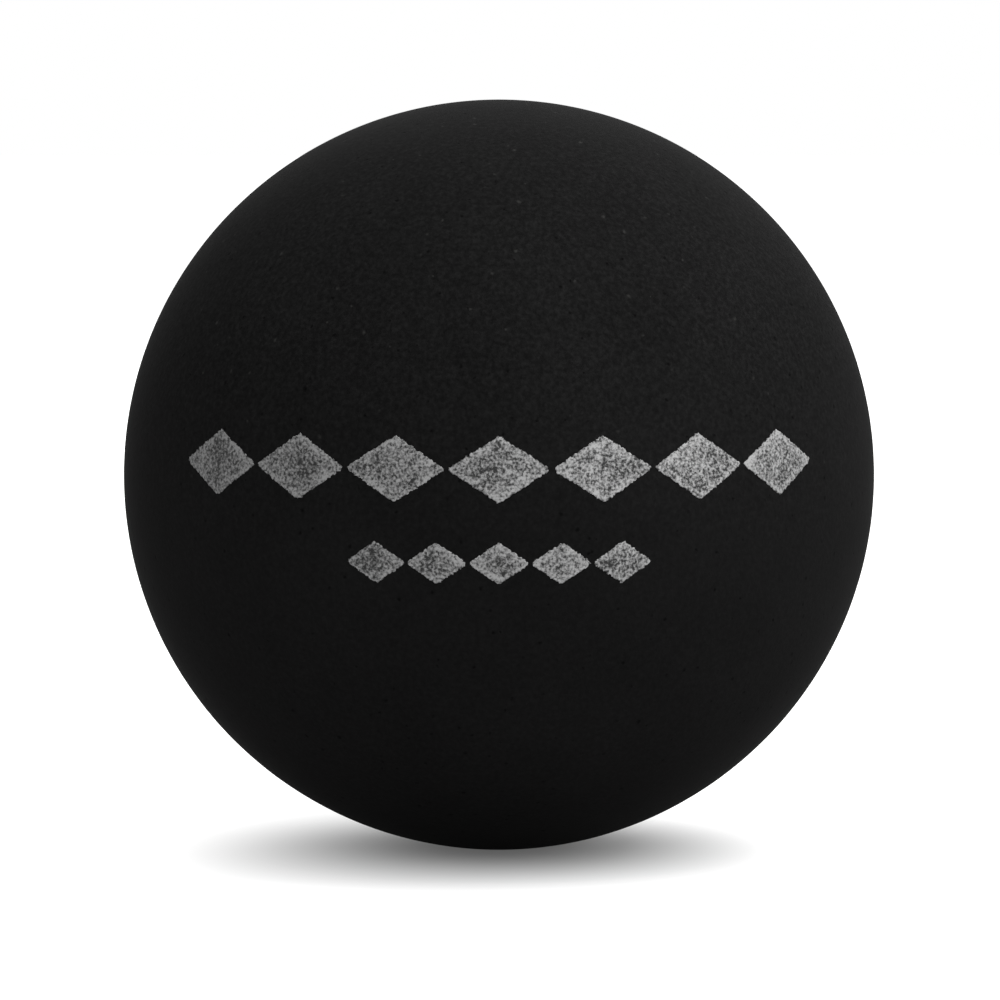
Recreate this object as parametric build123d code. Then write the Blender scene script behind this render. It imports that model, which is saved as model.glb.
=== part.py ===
from build123d import *

import os
from math import sqrt

# Squash ball: two moulded rubber half shells bonded rim to rim round a sealed space of air.
# Millimetres, +Z up, origin at the centre of the ball. The seam lies in the XZ plane, so the pieces are
# turned about the Y axis. The front half shell, which carries the print, faces -Y.

# Driving dimensions
ball_diameter = 40.0  # outside of the cured and buffed ball, as the rules of the game set it
wall_thickness = 5.2  # rubber wall of a half shell, even from the rim to the pole
bond_thickness = 0.2  # cured rubber solution between the two rims
bead_lap = 0.8  # how far the bead squeezed out inside the seam laps onto each inner wall
bead_height = 0.45  # how far that bead stands into the air space

# Radii from the centre of the ball, and offsets of the rims and of the bead's feet from the seam plane
outer_radius = ball_diameter / 2
inner_radius = outer_radius - wall_thickness
rim_offset = bond_thickness / 2
bead_reach = rim_offset + bead_lap
bead_crest_radius = inner_radius - bead_height


def on_sphere(radius, offset):
    """Point of a profile on a sphere about the origin, at an offset from the seam plane."""
    return (sqrt(radius**2 - offset**2), offset)


def sphere_arc(radius, start_offset, end_offset):
    """Arc of a profile that follows a sphere from one offset from the seam plane to another."""
    middle_offset = (start_offset + end_offset) / 2
    return ThreePointArc(
        on_sphere(radius, start_offset),
        on_sphere(radius, middle_offset),
        on_sphere(radius, end_offset),
    )


def turn(edges):
    """Solid of revolution about the Y axis from the closed profile that the edges make."""
    return revolve(make_face(edges), Axis.Y)


def make_half_shell(side):
    """Half shell with a flat, buffed rim. Side is -1 for the half at -Y and +1 for the half at +Y."""
    rim = side * rim_offset
    outer_pole = side * outer_radius
    inner_pole = side * inner_radius
    return turn(
        [
            sphere_arc(outer_radius, rim, outer_pole),
            Line(on_sphere(outer_radius, outer_pole), on_sphere(inner_radius, inner_pole)),
            sphere_arc(inner_radius, inner_pole, rim),
            Line(on_sphere(inner_radius, rim), on_sphere(outer_radius, rim)),
        ]
    )


def make_seam_bond():
    """Ring of cured rubber solution: a web that fills the gap between the rims, flush with the outside
    of the ball, and a low bead that lies on the inner wall of both half shells."""
    bead_crest = ThreePointArc(
        on_sphere(inner_radius, -bead_reach),
        (bead_crest_radius, 0),
        on_sphere(inner_radius, bead_reach),
    )
    return turn(
        [
            sphere_arc(outer_radius, rim_offset, -rim_offset),
            Line(on_sphere(outer_radius, -rim_offset), on_sphere(inner_radius, -rim_offset)),
            sphere_arc(inner_radius, -rim_offset, -bead_reach),
            bead_crest,
            sphere_arc(inner_radius, bead_reach, rim_offset),
            Line(on_sphere(inner_radius, rim_offset), on_sphere(outer_radius, rim_offset)),
        ]
    )


nodes = {
    "front_half_shell": make_half_shell(-1),
    "rear_half_shell": make_half_shell(+1),
    "seam_bond": make_seam_bond(),
}

os.makedirs("parts", exist_ok=True)
for name, solid in nodes.items():
    export_step(solid, f"parts/{name}.step")
    print(f"{name}: {solid.volume / 1000:.3f} cm3")
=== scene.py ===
from math import atan, ceil, cos, hypot, inf, radians, sin, sqrt

import bmesh
import bpy
from mathutils import Matrix, Vector, noise


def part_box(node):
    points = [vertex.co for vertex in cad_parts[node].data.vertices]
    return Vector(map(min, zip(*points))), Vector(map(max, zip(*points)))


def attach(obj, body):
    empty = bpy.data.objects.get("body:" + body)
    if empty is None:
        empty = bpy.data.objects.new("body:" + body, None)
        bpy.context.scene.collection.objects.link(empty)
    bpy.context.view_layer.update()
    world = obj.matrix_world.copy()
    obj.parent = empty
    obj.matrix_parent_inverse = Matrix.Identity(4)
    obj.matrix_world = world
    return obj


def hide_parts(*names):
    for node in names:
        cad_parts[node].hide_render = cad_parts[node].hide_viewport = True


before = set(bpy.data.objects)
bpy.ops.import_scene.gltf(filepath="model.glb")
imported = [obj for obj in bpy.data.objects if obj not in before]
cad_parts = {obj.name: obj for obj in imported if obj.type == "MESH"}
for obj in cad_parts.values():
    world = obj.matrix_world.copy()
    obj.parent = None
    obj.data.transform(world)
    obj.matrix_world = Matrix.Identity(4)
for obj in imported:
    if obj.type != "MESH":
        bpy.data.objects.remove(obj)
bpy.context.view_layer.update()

mm = 0.001  # the frame is in metres, and sizes below are in millimetres
tiny = 1e-6  # nearer to the axis than this is on it

# The ball's own sizes, read off the frame
shellLow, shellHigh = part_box("front_half_shell")
ballRadius = -shellLow.y / mm
rimOffset = -shellHigh.y / mm
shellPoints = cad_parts["front_half_shell"].data.vertices
wallRadius = min(point.co.length for point in shellPoints) / mm
wallMiddle = (ballRadius + wallRadius) / 2
ballSizes = [round(size, 3) for size in (ballRadius, wallRadius, rimOffset)]
print("frame: ball radius, inner wall and rim", ballSizes)


# Small helpers

def linear(hexColour):
    channels = [int(hexColour[i:i + 2], 16) / 255 for i in (1, 3, 5)]
    return [c / 12.92 if c <= 0.04045 else ((c + 0.055) / 1.055) ** 2.4 for c in channels] + [1.0]


def perMetre(size):  # a texture's scale, from the width of one grain in millimetres
    return 1 / (size * mm)


def addNode(tree, kind, inputs=None, **settings):
    node = tree.nodes.new(kind)
    for name, value in settings.items():
        setattr(node, name, value)
    for key, value in (inputs or {}).items():
        if isinstance(value, bpy.types.NodeSocket):
            tree.links.new(value, node.inputs[key])
        else:
            node.inputs[key].default_value = value
    return node


def newMaterial(name):
    material = bpy.data.materials.new(name)
    material.use_nodes = True
    material.node_tree.nodes.clear()
    return material, material.node_tree


def finishPiece(bm, name, material, smooth=True):
    for face in bm.faces:
        face.smooth = smooth
    bmesh.ops.scale(bm, vec=(mm, mm, mm), verts=bm.verts)
    mesh = bpy.data.meshes.new(name)
    bm.to_mesh(mesh)
    bm.free()
    mesh.materials.append(material)
    piece = bpy.data.objects.new(name, mesh)
    bpy.context.scene.collection.objects.link(piece)
    return piece


def openEdges(bm):
    return sum(edge.is_boundary for edge in bm.edges)


# Materials

napNoise = {"Detail": 2.0, "Roughness": 0.6}  # the nap, on bare rubber and under the ink
noiseSpan = {"From Min": 0.3, "From Max": 0.7}  # nearly all of a noise lies between these
smallestSpot = 0.4  # of the largest

rubber = {
    "body": "#171717",      # carbon black in the compound
    "pit": "#080808",       # torn pits, in their own shade
    "bloomAndGlint": "#2f2f2e",     # specks of bloom and buffing dust, partly painted glints of the top light
    "grainWidth": 0.24,     # the buffing grit tears grains of 0.05 mm; drawn coarser so that they show
    "grainTone": 0.2,       # how far a grain is lighter or darker than the body, where it is clean
    "dustAndGlintTone": 0.4,       # and where dust lies in the nap on the upper side, partly a painted glint of the top light
    "cloudWidth": 7.0,      # slow change of shade over the ball
    "cloudNoise": {"Detail": 4.0, "Roughness": 0.55},
    "cloudTone": 0.1,
    "pitSpacing": 0.8,
    "pitSize": 0.18,
    "speckSpacing": 1.1,
    "speckSize": 0.17,
    "dustAndGlintFrom": -3.0,       # dust and a painted glint of the top light lie on the upper side: none below this height, all above the next
    "dustAndGlintFull": 7.0,
    "relief": 0.025,
    "bumpStrength": 0.5,
    "roughness": 0.93,
    "roughnessSwing": 0.05,
    "ior": 1.52,
    "specular": 0.014,      # the torn nap swallows nearly all gloss
}
# Without carbon black to fill it, the cured solution is a shade browner
bond = dict(rubber, body="#1a1918", pit="#0e0d0d", bloomAndGlint="#2a2827", roughness=0.88)


def scattered(tree, place, spacing, size):  # 1 in the middle of a spot, 0 outside; spots differ in size
    reach = size / spacing
    cells = addNode(tree, "ShaderNodeTexVoronoi", {"Vector": place, "Scale": perMetre(spacing)})
    chance = addNode(tree, "ShaderNodeSeparateColor", {"Color": cells.outputs["Color"]})
    ownReach = addNode(tree, "ShaderNodeMapRange", {
        "Value": chance.outputs["Red"], "To Min": smallestSpot * reach, "To Max": reach})
    spot = addNode(tree, "ShaderNodeMapRange", {
        "Value": cells.outputs["Distance"], "From Max": ownReach.outputs["Result"],
        "To Min": 1.0, "To Max": 0.0}, interpolation_type="SMOOTHSTEP")
    return spot.outputs["Result"]


def buffedRubber(name, settings):
    # Vulcanised rubber, buffed with grit after curing: a dead matt black with a fine torn nap,
    # with small torn pits, and with a little pale dust and bloom on its upper side, partly a painted glint of
    # the top light
    material, tree = newMaterial(name)
    place = addNode(tree, "ShaderNodeTexCoord").outputs["Object"]
    grain = addNode(tree, "ShaderNodeTexNoise", {
        "Vector": place, "Scale": perMetre(settings["grainWidth"]), **napNoise}).outputs["Fac"]
    clouds = addNode(tree, "ShaderNodeTexNoise", {
        "Vector": place, "Scale": perMetre(settings["cloudWidth"]), **settings["cloudNoise"]}).outputs["Fac"]
    # Torn outlines for the pits and specks
    wander = addNode(tree, "ShaderNodeTexNoise", {
        "Vector": place, "Scale": perMetre(settings["pitSize"])}).outputs["Color"]
    torn = addNode(tree, "ShaderNodeVectorMath", {
        0: wander, 1: [settings["pitSize"] * mm] * 3, 2: place}, operation="MULTIPLY_ADD").outputs["Vector"]
    pits = scattered(tree, torn, settings["pitSpacing"], settings["pitSize"])
    specks = scattered(tree, torn, settings["speckSpacing"], settings["speckSize"])
    level = addNode(tree, "ShaderNodeSeparateXYZ", {"Vector": place}).outputs["Z"]
    dustAndGlintShare = addNode(tree, "ShaderNodeMapRange", {
        "Value": level, "From Min": settings["dustAndGlintFrom"] * mm,
        "From Max": settings["dustAndGlintFull"] * mm}).outputs["Result"]
    # Pale specks on the upper side only: bloom and dust, partly painted glints of the top light
    dustAndGlintSpecks = addNode(tree, "ShaderNodeMath", {0: specks, 1: dustAndGlintShare}, operation="MULTIPLY").outputs["Value"]
    # Shade of the nap, stronger on the upper side, where dust lies in it and a glint of the top light is
    # painted
    tone = addNode(tree, "ShaderNodeMapRange", {
        "Value": dustAndGlintShare, "To Min": settings["grainTone"], "To Max": settings["dustAndGlintTone"]}).outputs["Result"]
    swing = addNode(tree, "ShaderNodeMapRange", {
        "Value": grain, **noiseSpan, "To Min": -1.0, "To Max": 1.0}).outputs["Result"]
    change = addNode(tree, "ShaderNodeMath", {0: swing, 1: tone}, operation="MULTIPLY").outputs["Value"]
    grainShade = addNode(tree, "ShaderNodeMath", {0: change}, operation="EXPONENT").outputs["Value"]
    cloudShade = addNode(tree, "ShaderNodeMapRange", {
        "Value": clouds, **noiseSpan, "To Min": 1 - settings["cloudTone"],
        "To Max": 1 + settings["cloudTone"]}).outputs["Result"]
    shade = addNode(tree, "ShaderNodeMath", {
        0: grainShade, 1: cloudShade}, operation="MULTIPLY").outputs["Value"]
    body = addNode(tree, "ShaderNodeMix", {
        0: 1.0, 6: linear(settings["body"]), 7: shade}, data_type="RGBA", blend_type="MULTIPLY").outputs[2]
    pitted = addNode(tree, "ShaderNodeMix", {
        0: pits, 6: body, 7: linear(settings["pit"])}, data_type="RGBA").outputs[2]
    colour = addNode(tree, "ShaderNodeMix", {
        0: dustAndGlintSpecks, 6: pitted, 7: linear(settings["bloomAndGlint"])}, data_type="RGBA").outputs[2]
    height = addNode(tree, "ShaderNodeMath", {0: grain, 1: pits}, operation="SUBTRACT").outputs["Value"]
    bump = addNode(tree, "ShaderNodeBump", {
        "Height": height, "Strength": settings["bumpStrength"],
        "Distance": settings["relief"] * mm}).outputs["Normal"]
    matt = addNode(tree, "ShaderNodeMapRange", {
        "Value": grain, **noiseSpan, "To Min": settings["roughness"] - settings["roughnessSwing"],
        "To Max": settings["roughness"] + settings["roughnessSwing"]}).outputs["Result"]
    surface = addNode(tree, "ShaderNodeBsdfPrincipled", {
        "Base Color": colour, "Roughness": matt, "IOR": settings["ior"],
        "Specular IOR Level": settings["specular"], "Normal": bump}).outputs["BSDF"]
    addNode(tree, "ShaderNodeOutputMaterial", {"Surface": surface})
    return material


ink = {
    "full": "#b6b6b6",      # where the ink lies thick
    "thin": "#2b2b2b",      # where the pad left almost none
    "bare": "#303030",      # torn pits that the ink bridges badly
    "thinAt": 0.45,         # ink on the nap, from almost none to thick, on a scale of 0 to 1
    "fullAt": 0.75,
    "grainWidth": 0.14,     # ink sits on the nap of the rubber
    "cloudWidth": 1.3,
    "cloudNoise": {"Detail": 2.0},
    "cloudShare": 0.35,
    "edgeFrom": 0.1,        # ink is thicker along the outline of a mark, up to this depth
    "edgeTo": 0.5,          # and thinned out from here on
    "edgeLoss": 0.03,
    "middleLoss": 0.1,
    "pressAndShadePoint": (6, -19.1, 0),  # the pad pushed hardest here and left a dimmer print further away; as this lies right of the middle, it also paints shade on the print's left end
    "pressAndShadeReach": 25,
    "pressAndShadeLoss": 0.58,
    "pitSpacing": 0.24,
    "pitSize": 0.14,
    "pitShow": 0.9,
    "relief": 0.02,
    "bumpStrength": 0.4,
    "roughness": 0.62,
    "ior": 1.5,
    "specular": 0.2,
}


def padPrintInk(name, settings):
    # Silver-grey pad print on a rough ground: matt and grainy, thicker along its edges than in the middle
    material, tree = newMaterial(name)
    place = addNode(tree, "ShaderNodeTexCoord").outputs["Object"]
    depth = addNode(tree, "ShaderNodeAttribute", attribute_name="inkDepth").outputs["Fac"]
    grain = addNode(tree, "ShaderNodeTexNoise", {
        "Vector": place, "Scale": perMetre(settings["grainWidth"]), **napNoise}).outputs["Fac"]
    clouds = addNode(tree, "ShaderNodeTexNoise", {
        "Vector": place, "Scale": perMetre(settings["cloudWidth"]), **settings["cloudNoise"]}).outputs["Fac"]
    cloudy = addNode(tree, "ShaderNodeMath", {
        0: clouds, 1: settings["cloudShare"], 2: grain}, operation="MULTIPLY_ADD").outputs["Value"]
    # How much ink the nap holds
    middle = addNode(tree, "ShaderNodeMapRange", {
        "Value": depth, "From Min": settings["edgeFrom"], "From Max": settings["edgeTo"]},
        interpolation_type="SMOOTHSTEP").outputs["Result"]
    thinning = addNode(tree, "ShaderNodeMapRange", {
        "Value": middle, "To Min": settings["edgeLoss"], "To Max": settings["middleLoss"]}).outputs["Result"]
    amount = addNode(tree, "ShaderNodeMath", {
        0: cloudy, 1: thinning}, operation="SUBTRACT").outputs["Value"]
    tone = addNode(tree, "ShaderNodeMapRange", {
        "Value": amount, "From Min": settings["thinAt"], "From Max": settings["fullAt"]}).outputs["Result"]
    printed = addNode(tree, "ShaderNodeMix", {
        0: tone, 6: linear(settings["thin"]), 7: linear(settings["full"])}, data_type="RGBA").outputs[2]
    # How hard the pad pushed, with painted shade that darkens the print towards its left
    pressAndShadePoint = [size * mm for size in settings["pressAndShadePoint"]]
    away = addNode(tree, "ShaderNodeVectorMath", {
        0: place, 1: pressAndShadePoint}, operation="DISTANCE").outputs["Value"]
    pressedAndShaded = addNode(tree, "ShaderNodeMapRange", {
        "Value": away, "From Max": settings["pressAndShadeReach"] * mm,
        "To Min": 1.0, "To Max": 1 - settings["pressAndShadeLoss"]}).outputs["Result"]
    inked = addNode(tree, "ShaderNodeVectorMath", {
        0: printed, "Scale": pressedAndShaded}, operation="SCALE").outputs["Vector"]
    # Pits that stay open
    pits = scattered(tree, place, settings["pitSpacing"], settings["pitSize"])
    unfilled = addNode(tree, "ShaderNodeMath", {0: pits, 1: middle}, operation="MULTIPLY").outputs["Value"]
    shown = addNode(tree, "ShaderNodeMath", {
        0: unfilled, 1: settings["pitShow"]}, operation="MULTIPLY").outputs["Value"]
    colour = addNode(tree, "ShaderNodeMix", {
        0: shown, 6: inked, 7: linear(settings["bare"])}, data_type="RGBA").outputs[2]
    height = addNode(tree, "ShaderNodeMath", {0: amount, 1: shown}, operation="SUBTRACT").outputs["Value"]
    bump = addNode(tree, "ShaderNodeBump", {
        "Height": height, "Strength": settings["bumpStrength"],
        "Distance": settings["relief"] * mm}).outputs["Normal"]
    surface = addNode(tree, "ShaderNodeBsdfPrincipled", {
        "Base Color": colour, "Roughness": settings["roughness"], "IOR": settings["ior"],
        "Specular IOR Level": settings["specular"], "Normal": bump}).outputs["BSDF"]
    addNode(tree, "ShaderNodeOutputMaterial", {"Surface": surface})
    return material


rubberSkin = buffedRubber("buffedBlackRubber", rubber)
bondSkin = buffedRubber("curedRubberSolution", bond)
inkSkin = padPrintInk("silverGreyPadInk", ink)
print("materials: rubber, bond and ink")


# Half shells

shell = {
    "outerSteps": 8,        # icosphere steps, which give edges of about 0.2 mm on the outside
    "innerSteps": 6,
    "cutSnap": 0.001,       # a point this near to the seam plane is cut on it
    "relief": [(1.5, 0.0030), (0.62, 0.0028)],  # width and height of the buffed unevenness
    "reliefFade": 0.6,      # it dies out this far from the rim
    "rimDrop": 0.012,       # the buffing wheel takes a little more off the edge of a rim
    "rimEdge": 0.0001,      # a point this near to the rim is on its edge
    "outerDisc": 0.42,      # radius of the outside on the shell's own flat map, which is 1 wide
    "innerDisc": 0.16,      # and of the rim, with the inside in its middle
    "innerShare": 0.97,     # the inside keeps clear of the rim
}


def reliefAt(point):
    return sum(height * noise.noise(point / width) for width, height in shell["relief"])


def mapShell(bm, side):  # flat map of the shell: the outside is one round island, so no cut shows on it
    layer = bm.loops.layers.uv.new("OFBake")
    outerDisc, innerDisc = shell["outerDisc"], shell["innerDisc"]
    inside = innerDisc * shell["innerShare"] * wallRadius / ballRadius
    for face in bm.faces:
        outer = [vert.co.length > wallMiddle for vert in face.verts]
        for loop in face.loops:
            point = loop.vert.co
            across = hypot(point.x, point.z)
            swell = sqrt(max(1 - abs(point.y) / point.length, 0))  # keeps equal areas equal on the map
            if all(outer):
                centre, reach = outerDisc, outerDisc * swell
            elif any(outer):
                centre, reach = 1 - innerDisc, innerDisc * across / ballRadius
            else:
                centre, reach = 1 - innerDisc, inside * swell
            turn = reach / across if across > tiny else 0
            loop[layer].uv = (centre - side * point.x * turn, centre + point.z * turn)


def halfShell(name, side):
    bm = bmesh.new()
    bmesh.ops.create_icosphere(bm, subdivisions=shell["innerSteps"], radius=wallRadius)
    bmesh.ops.reverse_faces(bm, faces=bm.faces)  # the inner wall faces the air inside
    bmesh.ops.create_icosphere(bm, subdivisions=shell["outerSteps"], radius=ballRadius)
    quarterTurn = Matrix.Rotation(radians(90), 3, "X")
    bmesh.ops.rotate(bm, matrix=quarterTurn, verts=bm.verts)  # brings a loop of edges onto the seam
    bmesh.ops.bisect_plane(
        bm, geom=bm.verts[:] + bm.edges[:] + bm.faces[:], dist=shell["cutSnap"], plane_co=(0, 0, 0),
        plane_no=(0, -side, 0), clear_outer=True)
    # Make room for the bond: the rim moves off the seam plane, and each point stays on its own sphere
    for vert in bm.verts:
        radius = ballRadius if vert.co.length > wallMiddle else wallRadius
        y = side * (rimOffset + abs(vert.co.y) * (1 - rimOffset / radius))
        across = hypot(vert.co.x, vert.co.z)
        spread = sqrt(max(radius ** 2 - y ** 2, 0)) / across if across > tiny else 1
        vert.co = (vert.co.x * spread, y, vert.co.z * spread)
    rimEdges = [edge for edge in bm.edges if edge.is_boundary]
    bmesh.ops.bridge_loops(bm, edges=rimEdges)
    for vert in bm.verts:
        if vert.co.length > wallMiddle:
            toRim = abs(vert.co.y) - rimOffset
            lift = reliefAt(vert.co) * min(toRim / shell["reliefFade"], 1)
            if toRim < shell["rimEdge"]:
                lift = -shell["rimDrop"]
            vert.co *= 1 + lift / ballRadius
    mapShell(bm, side)
    print(name, len(bm.faces), "faces, open edges", openEdges(bm))
    return finishPiece(bm, name, rubberSkin)


frontShell = halfShell("front_shell", -1)
rearShell = halfShell("rear_shell", +1)
for piece, node in ((frontShell, "front_half_shell"), (rearShell, "rear_half_shell")):
    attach(piece, "root")
    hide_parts(node)


# Seam bond

seam = {
    "steps": 360,           # round the ring
    "webRecess": 0.014,     # the cured bond is softer than the shells and buffs a little lower
    "crownSteps": 8,
    "mergeGap": 0.0005,
}


def seamRing(name):
    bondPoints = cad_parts["seam_bond"].data.vertices
    crest = min(hypot(point.co.x, point.co.z) for point in bondPoints) / mm
    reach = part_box("seam_bond")[1].y / mm
    webRadius = ballRadius - seam["webRecess"]
    rimRadius = sqrt(wallRadius ** 2 - rimOffset ** 2)
    footRadius = sqrt(wallRadius ** 2 - reach ** 2)
    profile = [(webRadius, -rimOffset), (webRadius, rimOffset), (rimRadius, rimOffset)]
    for step in range(seam["crownSteps"] + 1):  # the bead inside, from one foot to the other
        y = reach * (1 - 2 * step / seam["crownSteps"])
        profile.append((crest + (footRadius - crest) * (y / reach) ** 2, y))
    profile.append((rimRadius, -rimOffset))
    bm = bmesh.new()
    verts = [bm.verts.new((x, y, 0)) for x, y in profile]
    edges = [bm.edges.new((verts[i - 1], verts[i])) for i in range(len(verts))]
    bmesh.ops.spin(
        bm, geom=verts + edges, cent=(0, 0, 0), axis=(0, 1, 0), dvec=(0, 0, 0), angle=radians(360),
        steps=seam["steps"], use_merge=True)
    bmesh.ops.remove_doubles(bm, verts=bm.verts, dist=seam["mergeGap"])
    bmesh.ops.recalc_face_normals(bm, faces=bm.faces)
    print(name, len(bm.faces), "faces, open edges", openEdges(bm))
    return finishPiece(bm, name, bondSkin, smooth=False)


seamPiece = seamRing("seam_ring")
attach(seamPiece, "root")
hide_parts("seam_bond")


# Printed mark: two rows of plain lozenges, the same on its left and right

film = {
    "cell": 0.05,           # side of the grid that the film is cut from
    "sunk": 0.02,           # how far the film reaches into the nap
    "proud": 0.02,          # how far it stands out of it
    "ragged": 0.08,         # how far the outline wanders, on the nap of the rubber
    "raggedWidth": 0.15,
    "smoothing": 0.5,       # of the steps that the grid leaves in the outline
    "relief": 0.006,
    "cornerRadius": 0.15,
}
mark = {  # sizes along the surface; up is measured from the ball's equator to the middle of a row
    "upper": {"up": 1.65, "count": 7, "pitch": 5.27, "wide": 4.98, "tall": 3.3},
    "lower": {"up": -3.05, "count": 5, "pitch": 3.16, "wide": 2.96, "tall": 2.1},
}


def inkDepth(u, v, corners):  # how far a point lies inside the outline, whose corners are round
    inside = True
    nearest = inf
    for i, (u1, v1) in enumerate(corners):
        u0, v0 = corners[i - 1]
        along = ((u - u0) * (u1 - u0) + (v - v0) * (v1 - v0)) / ((u1 - u0) ** 2 + (v1 - v0) ** 2)
        along = min(max(along, 0), 1)
        nearest = min(nearest, hypot(u - u0 - along * (u1 - u0), v - v0 - along * (v1 - v0)))
        inside = inside and (u1 - u0) * (v - v0) > (v1 - v0) * (u - u0)
    return film["cornerRadius"] + (nearest if inside else -nearest)


def inkFilm(name, u, v, wide, tall):
    # Centres of the round corners, anticlockwise
    halfWide = wide / 2 - film["cornerRadius"]
    halfTall = tall / 2 - film["cornerRadius"]
    corners = [(u + halfWide, v), (u, v + halfTall), (u - halfWide, v), (u, v - halfTall)]
    sides = [wide + 2 * film["ragged"], tall + 2 * film["ragged"]]
    cells = [ceil(side / film["cell"]) for side in sides]
    bm = bmesh.new()
    bmesh.ops.create_grid(bm, x_segments=cells[0], y_segments=cells[1], size=0.5)
    bmesh.ops.scale(bm, vec=(sides[0], sides[1], 1), verts=bm.verts)
    bmesh.ops.translate(bm, vec=(u, v, 0), verts=bm.verts)
    bare = []
    for face in bm.faces:
        spot = face.calc_center_median()
        if inkDepth(spot.x, spot.y, corners) < film["ragged"] * noise.noise(spot / film["raggedWidth"]):
            bare.append(face)
    bmesh.ops.delete(bm, geom=bare, context="FACES")
    rim = [vert for vert in bm.verts if vert.is_boundary]
    bmesh.ops.smooth_vert(bm, verts=rim, factor=film["smoothing"], use_axis_x=True, use_axis_y=True)
    bmesh.ops.solidify(bm, geom=bm.faces[:], thickness=film["sunk"] + film["proud"])
    lowest = min(vert.co.z for vert in bm.verts)
    depthLayer = bm.verts.layers.float.new("inkDepth")
    for vert in bm.verts:  # wrap the flat film round the ball
        vert[depthLayer] = inkDepth(vert.co.x, vert.co.y, corners)
        height = vert.co.z - lowest - film["sunk"]
        if height > 0:
            height += film["relief"] * noise.noise(vert.co / film["raggedWidth"])
        radius = ballRadius + height
        lon, lat = vert.co.x / ballRadius, vert.co.y / ballRadius
        vert.co = (radius * cos(lat) * sin(lon), -radius * cos(lat) * cos(lon), radius * sin(lat))
    if bm.calc_volume(signed=True) < 0:  # inside out
        bmesh.ops.reverse_faces(bm, faces=bm.faces)
    return finishPiece(bm, name, inkSkin)


for rowName, row in mark.items():
    start = -row["pitch"] * (row["count"] - 1) / 2
    for i in range(row["count"]):
        u = start + i * row["pitch"]
        piece = inkFilm(f"ink_{rowName}_lozenge_{i + 1}", u, row["up"], row["wide"], row["tall"])
        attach(piece, "root")
    print("printed row", rowName, row["count"], "films")


# Floor, lights and world

studio = {
    "floorHalf": 6000,      # half the width of the floor
    "floorColour": "#aaaaaa",
    "paintedShadowCore": 0.1,         # painted shadow: the white that is left in the paper's own light where the ball stands
    "paintedShadowNear": 2,        # painted shadow: from here the paper's own light gets whiter, and there the shadow has run out
    "paintedShadowFar": 24,
    "air": "#c5c5c5",       # soft light from all round
    "backdrop": "#ffffff",
    "boxAway": 600,         # from the middle of the ball to each softbox
    "boxWidth": 420,
}
softboxes = {  # bearing from the viewer's side round to the right, height over the floor, and watts
    "topSoftbox": {"bearing": 80, "height": 55, "watts": 2.9},
    "rightSoftbox": {"bearing": 75, "height": 20, "watts": 1.0},
    "frontFill": {"bearing": 0, "height": 20, "watts": 0.65},
    "backSoftbox": {"bearing": 180, "height": 45, "watts": 2.25},
}


def seenFactor(tree):  # 1 for what the camera, a gloss or a pane sees, 0 for light that falls on the ball
    path = addNode(tree, "ShaderNodeLightPath")
    gloss = addNode(tree, "ShaderNodeMath", {
        0: path.outputs["Is Camera Ray"], 1: path.outputs["Is Glossy Ray"]}, operation="ADD")
    seen = addNode(tree, "ShaderNodeMath", {
        0: gloss.outputs["Value"], 1: path.outputs["Is Transmission Ray"]}, operation="ADD", use_clamp=True)
    return seen.outputs["Value"]


def studioFloor(name):
    # White seamless paper: the ball's soft shadow shows on it, partly real and partly painted as a dimmer
    # white near the contact point
    material, tree = newMaterial("whitePaper")
    place = addNode(tree, "ShaderNodeTexCoord").outputs["Object"]
    away = addNode(tree, "ShaderNodeVectorMath", {
        0: place, 1: (0, 0, ballRadius * mm)}, operation="ADD")
    reach = addNode(tree, "ShaderNodeVectorMath", {0: away.outputs["Vector"]}, operation="LENGTH")
    # Painted shadow: the paper's white dims towards the point where the ball stands
    paintedShadowGlow = addNode(tree, "ShaderNodeMapRange", {
        "Value": reach.outputs["Value"], "From Min": studio["paintedShadowNear"] * mm,
        "From Max": studio["paintedShadowFar"] * mm, "To Min": studio["paintedShadowCore"], "To Max": 1.0},
        interpolation_type="SMOOTHSTEP")
    paper = addNode(tree, "ShaderNodeBsdfDiffuse", {"Color": linear(studio["floorColour"])})
    white = addNode(tree, "ShaderNodeEmission", {"Strength": paintedShadowGlow.outputs["Result"]})
    lit = addNode(tree, "ShaderNodeAddShader", {0: paper.outputs["BSDF"], 1: white.outputs["Emission"]})
    upper = addNode(tree, "ShaderNodeMixShader", {
        0: seenFactor(tree), 1: paper.outputs["BSDF"], 2: lit.outputs["Shader"]})
    lower = addNode(tree, "ShaderNodeBsdfTransparent")  # so that the ball can be seen from below as well
    facing = addNode(tree, "ShaderNodeNewGeometry")
    surface = addNode(tree, "ShaderNodeMixShader", {
        0: facing.outputs["Backfacing"], 1: upper.outputs["Shader"], 2: lower.outputs["BSDF"]})
    addNode(tree, "ShaderNodeOutputMaterial", {"Surface": surface.outputs["Shader"]})
    bm = bmesh.new()
    bmesh.ops.create_grid(bm, x_segments=2, y_segments=2, size=studio["floorHalf"])
    bmesh.ops.translate(bm, vec=(0, 0, -ballRadius), verts=bm.verts)
    return finishPiece(bm, name, material, smooth=False)


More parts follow.
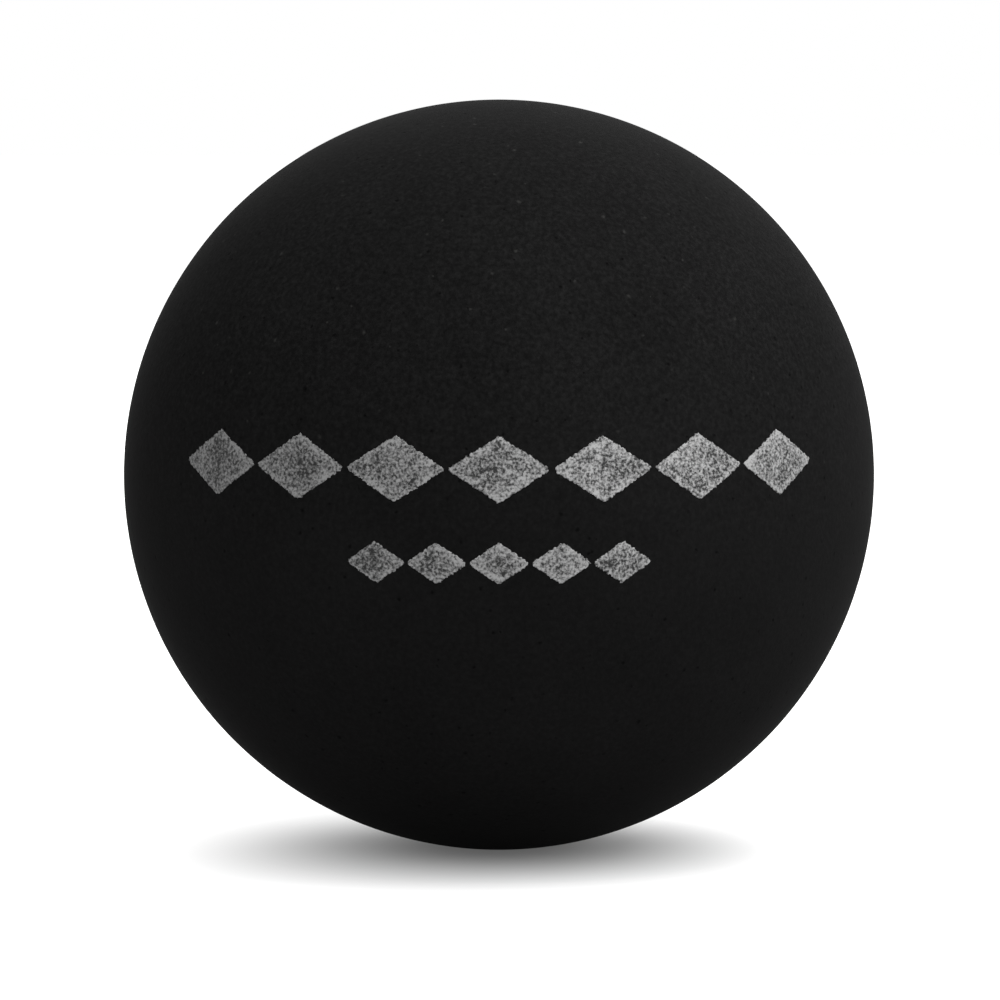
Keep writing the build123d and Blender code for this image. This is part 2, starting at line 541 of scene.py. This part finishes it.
def studioAir(name):  # lights the ball softly from all round, and shows as a white backdrop
    world = bpy.data.worlds.new(name)
    world.use_nodes = True
    tree = world.node_tree
    tree.nodes.clear()
    air = addNode(tree, "ShaderNodeBackground", {"Color": linear(studio["air"])})
    backdrop = addNode(tree, "ShaderNodeBackground", {"Color": linear(studio["backdrop"])})
    sky = addNode(tree, "ShaderNodeMixShader", {
        0: seenFactor(tree), 1: air.outputs["Background"], 2: backdrop.outputs["Background"]})
    addNode(tree, "ShaderNodeOutputWorld", {"Surface": sky.outputs["Shader"]})
    return world


def softbox(name, bearing, height, watts):
    lamp = bpy.data.lights.new(name, "AREA")
    lamp.shape = "SQUARE"
    lamp.size = studio["boxWidth"] * mm
    lamp.energy = watts
    holder = bpy.data.objects.new(name, lamp)
    bearing, height = radians(bearing), radians(height)
    direction = Vector((sin(bearing) * cos(height), -cos(bearing) * cos(height), sin(height)))
    holder.location = direction * studio["boxAway"] * mm
    holder.rotation_euler = direction.to_track_quat("Z", "Y").to_euler()
    bpy.context.scene.collection.objects.link(holder)


studioFloor("floor")
bpy.context.scene.world = studioAir("studioAir")
for name, box in softboxes.items():
    softbox(name, **box)
print("studio: floor, air and", len(softboxes), "softboxes")


# Camera

shot = {
    "lens": 180,            # long lens on a 36 mm sensor
    "sensor": 36,
    "elevation": 4.0,       # degrees over the middle of the ball
    "imageSize": 1000,      # pixels
    "ballRadius": 375.2,    # outline of the ball in the picture, pixels
    "ballX": 499.0,
    "ballY": 474.8,
    "clipNear": 10,
    "clipFar": 20000,
}
focal = shot["lens"] / shot["sensor"] * shot["imageSize"]
away = ballRadius / sin(atan(shot["ballRadius"] / focal))
tilt = radians(shot["elevation"])
right = Vector((1, 0, 0))
back = Vector((0, -cos(tilt), sin(tilt)))
up = Vector((0, sin(tilt), cos(tilt)))
pixel = away / focal  # millimetres on the ball's middle plane
half = shot["imageSize"] / 2
target = right * (half - shot["ballX"]) * pixel + up * (shot["ballY"] - half) * pixel
lens = bpy.data.cameras.new("camera")
lens.lens = shot["lens"]
lens.sensor_width = shot["sensor"]
lens.clip_start = shot["clipNear"] * mm
lens.clip_end = shot["clipFar"] * mm
camera = bpy.data.objects.new("camera", lens)
camera.location = back * away * mm
camera.rotation_euler = (target - back * away).to_track_quat("-Z", "Y").to_euler()
bpy.context.scene.collection.objects.link(camera)
bpy.context.scene.camera = camera
bpy.context.scene.view_settings.view_transform = "Standard"
print("camera:", round(away, 1), "mm from the middle of the ball")

bpy.context.view_layer.update()
